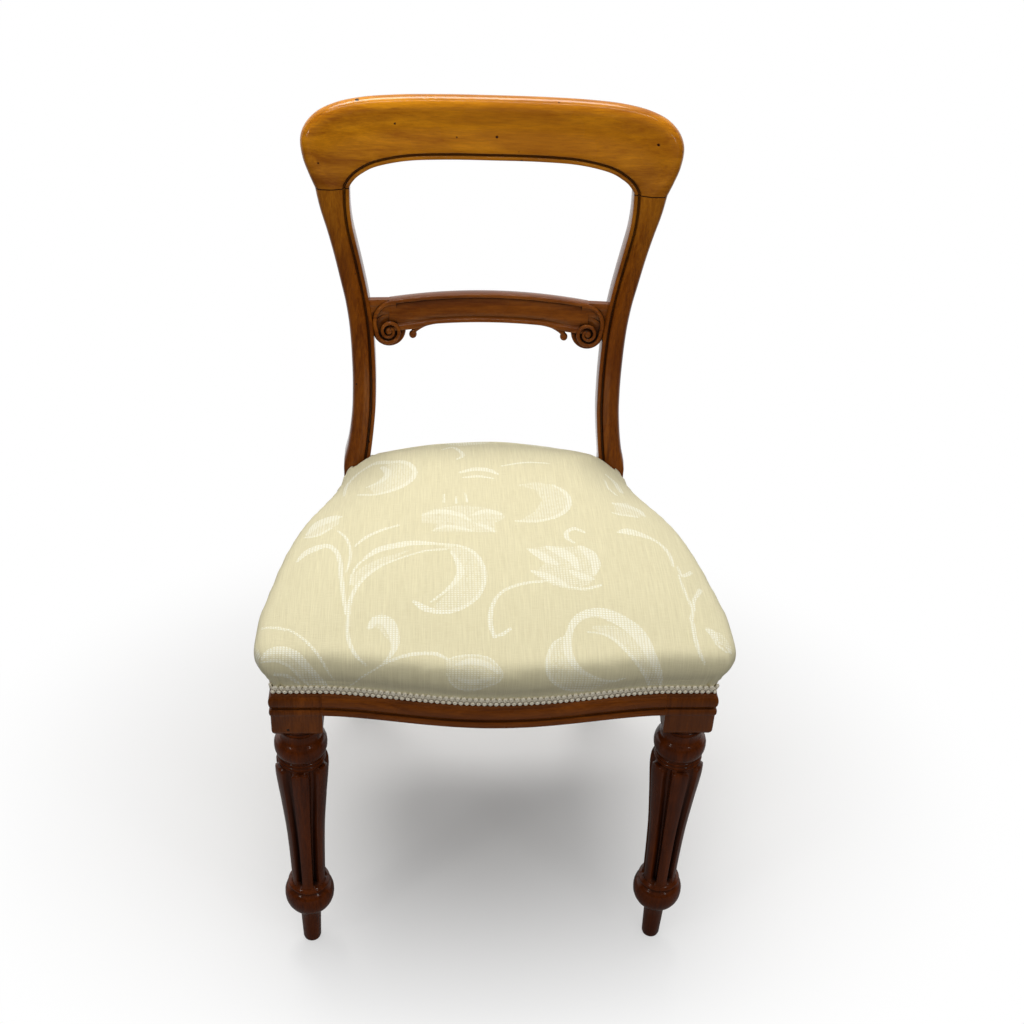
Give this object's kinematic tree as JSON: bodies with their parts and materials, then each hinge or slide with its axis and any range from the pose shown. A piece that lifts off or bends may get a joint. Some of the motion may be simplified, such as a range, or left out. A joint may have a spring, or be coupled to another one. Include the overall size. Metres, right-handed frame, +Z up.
{
  "type": "balloon back dining chair",
  "caption": "Dining chair with an open balloon back, a carved scroll cross rail, reeded front legs, swept back legs and a sprung upholstered seat.",
  "frame": {"origin": "on the floor, at the middle of the chair's bounding box", "axes": "+Z up, -Y towards the front of the chair, +X to the right of someone who looks at its front"},
  "size_m": [0.4842, 0.5318, 0.873],
  "materials": {
    "mahogany": "french polished, dark in the hollows",
    "golden_mahogany": "french polished, worn lighter",
    "beech": "bare sawn wood",
    "steel": "dull",
    "jute_webbing": "coarse woven",
    "hessian": "open woven",
    "stuffing": "curled hair",
    "damask": "woven with a lighter figure",
    "gimp": "looped braid"
  },
  "bodies": {
    "root": {"crest_rail": "golden_mahogany", "back_post_left": "mahogany", "back_post_right": "mahogany", "cross_rail": "mahogany", "front_rail": "mahogany", "back_rail": "mahogany", "side_rail_left": "mahogany", "side_rail_right": "mahogany", "front_leg_left": "mahogany", "front_leg_right": "mahogany", "crest_dowel_left_inner": "beech", "crest_dowel_left_outer": "beech", "crest_dowel_right_inner": "beech", "crest_dowel_right_outer": "beech", "corner_block_front_left": "beech", "corner_block_front_right": "beech", "corner_block_back_left": "beech", "corner_block_back_right": "beech", "block_screw_front_left_front": "steel", "block_screw_front_left_side": "steel", "block_screw_front_right_front": "steel", "block_screw_front_right_side": "steel", "block_screw_back_left_back": "steel", "block_screw_back_left_side": "steel", "block_screw_back_right_back": "steel", "block_screw_back_right_side": "steel", "webbing_lengthways_1": "jute_webbing", "webbing_lengthways_2": "jute_webbing", "webbing_lengthways_3": "jute_webbing", "webbing_crossways_1": "jute_webbing", "webbing_crossways_2": "jute_webbing", "webbing_crossways_3": "jute_webbing", "spring_front_left": "steel", "spring_front_right": "steel", "spring_middle": "steel", "spring_back_left": "steel", "spring_back_right": "steel", "hessian": "hessian", "seat_stuffing": "stuffing", "seat_cover": "damask", "gimp_front": "gimp", "gimp_back": "gimp"}
  },
  "joints": []
}
